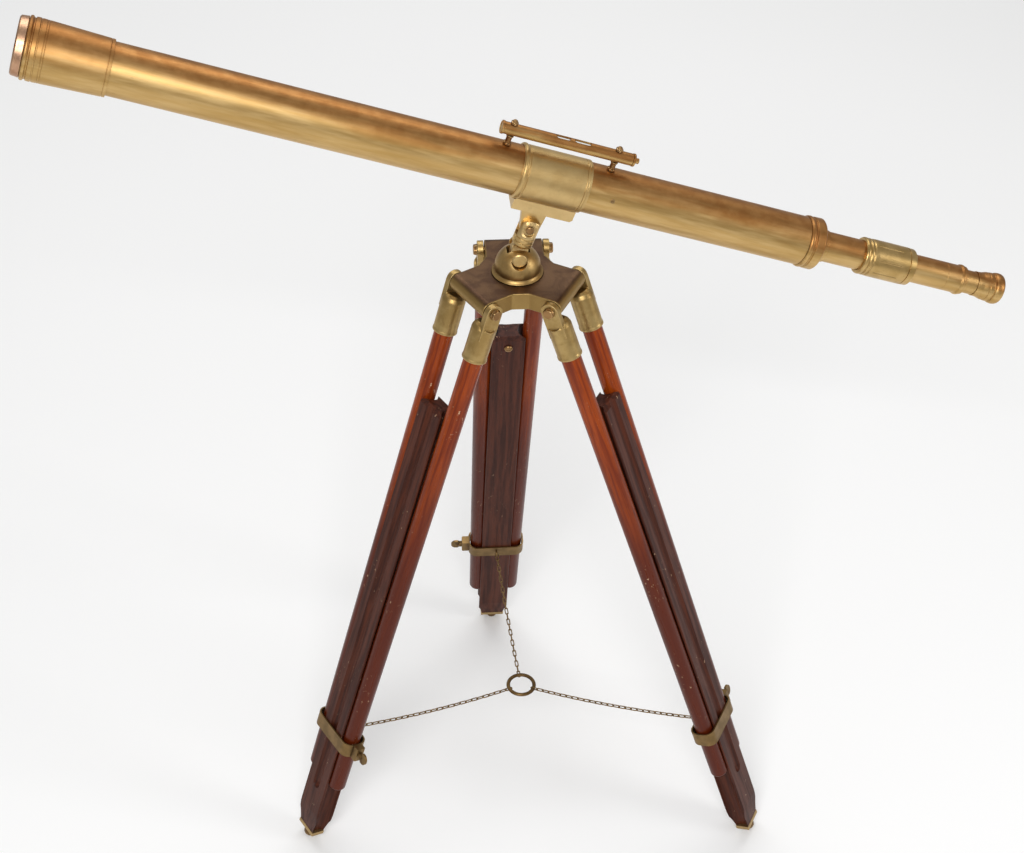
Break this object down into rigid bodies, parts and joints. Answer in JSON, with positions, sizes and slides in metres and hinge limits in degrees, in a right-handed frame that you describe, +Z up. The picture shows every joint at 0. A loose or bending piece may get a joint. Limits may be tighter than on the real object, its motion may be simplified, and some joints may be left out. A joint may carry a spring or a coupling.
{
  "type": "telescope on tripod",
  "caption": "Brass refracting telescope with draw tubes and a spirit level, on a tilting, swivelling pillar and a folding wooden tripod with sliding legs and chains.",
  "frame": {"origin": "on the floor, under the middle of the object's bounding box; the tripod's vertical axis is 30.4 mm to -X and 18.6 mm to -Y of it", "axes": "+Z up; +X towards the eyepiece, which points 0.5 degrees to the left of +X seen from above; one tripod leg points to +Y"},
  "size_m": [1.247, 0.4984, 1.2984],
  "materials": {
    "aged_brass": "aged, lacquer worn to brown patches",
    "satin_brass": "satin, lightly tarnished",
    "copper_cap": "satin, copper-toned",
    "bronze": "dark brown patina with bright edges",
    "red_wood": "red-brown gloss varnish with chips",
    "dark_wood": "dark brown satin varnish",
    "glass": "polished"
  },
  "bodies": {
    "head": {"head_casting": "bronze", "chain_ring": "bronze", "hinge_bolt_back": "satin_brass", "hinge_bolt_left": "satin_brass", "hinge_bolt_right": "satin_brass", "chain_back": "bronze", "chain_left": "bronze", "chain_right": "bronze"},
    "swivel": {"swivel_dome": "satin_brass", "swivel_stud": "bronze", "tilt_pin": "satin_brass"},
    "pillar": {"pillar": "satin_brass", "altitude_screw": "satin_brass"},
    "telescope": {"saddle": "aged_brass", "main_tube": "aged_brass", "saddle_sleeve": "satin_brass", "tail_flange": "aged_brass", "dew_hood": "satin_brass", "objective_lens": "glass", "level_tube": "aged_brass", "level_vial": "glass", "level_cap_front": "aged_brass", "level_cap_rear": "aged_brass", "level_post_front": "aged_brass", "level_post_rear": "aged_brass"},
    "cap": {"lens_cap": "copper_cap"},
    "draw": {"draw_tube": "aged_brass", "grip_collar": "aged_brass"},
    "second_draw": {"second_draw_tube": "aged_brass", "eyepiece_tube": "aged_brass", "field_lens": "glass", "eyecup": "aged_brass", "eye_lens": "glass"},
    "leg_back": {"socket_back_a": "satin_brass", "socket_back_b": "satin_brass", "rod_back_a": "red_wood", "rod_back_b": "red_wood", "strap_back": "bronze"},
    "lower_leg_back": {"leg_blade_back": "dark_wood", "stop_screw_back": "satin_brass", "foot_back": "satin_brass"},
    "thumb_screw_back": {"thumb_screw_back": "bronze"},
    "leg_left": {"socket_left_a": "satin_brass", "socket_left_b": "satin_brass", "rod_left_a": "red_wood", "rod_left_b": "red_wood", "strap_left": "bronze"},
    "lower_leg_left": {"leg_blade_left": "dark_wood", "stop_screw_left": "satin_brass", "foot_left": "satin_brass"},
    "thumb_screw_left": {"thumb_screw_left": "bronze"},
    "leg_right": {"socket_right_a": "satin_brass", "socket_right_b": "satin_brass", "rod_right_a": "red_wood", "rod_right_b": "red_wood", "strap_right": "bronze"},
    "lower_leg_right": {"leg_blade_right": "dark_wood", "stop_screw_right": "satin_brass", "foot_right": "satin_brass"},
    "thumb_screw_right": {"thumb_screw_right": "bronze"}
  },
  "joints": [
    {"name": "swivel_turn", "type": "hinge", "parent": "head", "child": "swivel", "pos_m": [-0.0304, -0.0186, 0.9238], "axis": [0, 0, 1], "continuous": true},
    {"name": "lower_tilt", "type": "hinge", "parent": "swivel", "child": "pillar", "pos_m": [-0.0304, -0.0186, 0.954], "axis": [-0.0087, 1, 0], "range_deg": [-40, 10]},
    {"name": "upper_tilt", "type": "hinge", "parent": "pillar", "child": "telescope", "pos_m": [-0.01742, -0.01849, 0.99394], "axis": [-0.0087, 1, 0], "range_deg": [-35, 32]},
    {"name": "cap_pull", "type": "slide", "parent": "telescope", "child": "cap", "axis": [-0.951, -0.0083, 0.309], "range_m": [0, 0.06]},
    {"name": "draw_slide", "type": "slide", "parent": "telescope", "child": "draw", "axis": [0.951, 0.0083, -0.309], "range_m": [-0.045, 0.09]},
    {"name": "second_draw_slide", "type": "slide", "parent": "draw", "child": "second_draw", "axis": [0.951, 0.0083, -0.309], "range_m": [-0.065, 0.1]},
    {"name": "leg_fold_back", "type": "hinge", "parent": "head", "child": "leg_back", "pos_m": [-0.0304, 0.0484, 0.911], "axis": [-1, 0, 0], "range_deg": [0, 11], "deforming": ["chain_back"]},
    {"name": "leg_slide_back", "type": "slide", "parent": "leg_back", "child": "lower_leg_back", "axis": [0, 0.2079, -0.9781], "range_m": [-0.074, 0.42]},
    {"name": "thumb_turn_back", "type": "hinge", "parent": "leg_back", "child": "thumb_screw_back", "pos_m": [-0.0304, 0.19519, 0.22043], "axis": [-1, 0, 0], "range_deg": [0, 330]},
    {"name": "leg_fold_left", "type": "hinge", "parent": "head", "child": "leg_left", "pos_m": [-0.08842, -0.0521, 0.911], "axis": [0.5, -0.866, 0], "range_deg": [0, 17], "deforming": ["chain_left"]},
    {"name": "leg_slide_left", "type": "slide", "parent": "leg_left", "child": "lower_leg_left", "axis": [-0.2662, -0.1537, -0.9516], "range_m": [-0.08, 0.42]},
    {"name": "thumb_turn_left", "type": "hinge", "parent": "leg_left", "child": "thumb_screw_left", "pos_m": [-0.28673, -0.16659, 0.20206], "axis": [0.5, -0.866, 0], "range_deg": [0, 330]},
    {"name": "leg_fold_right", "type": "hinge", "parent": "head", "child": "leg_right", "pos_m": [0.02762, -0.0521, 0.911], "axis": [0.5, 0.866, 0], "range_deg": [0, 17], "deforming": ["chain_right"]},
    {"name": "leg_slide_right", "type": "slide", "parent": "leg_right", "child": "lower_leg_right", "axis": [0.316, -0.1824, -0.9311], "range_m": [-0.08, 0.42]},
    {"name": "thumb_turn_right", "type": "hinge", "parent": "leg_right", "child": "thumb_screw_right", "pos_m": [0.26462, -0.18893, 0.21271], "axis": [0.5, 0.866, 0], "range_deg": [0, 330]}
  ]
}
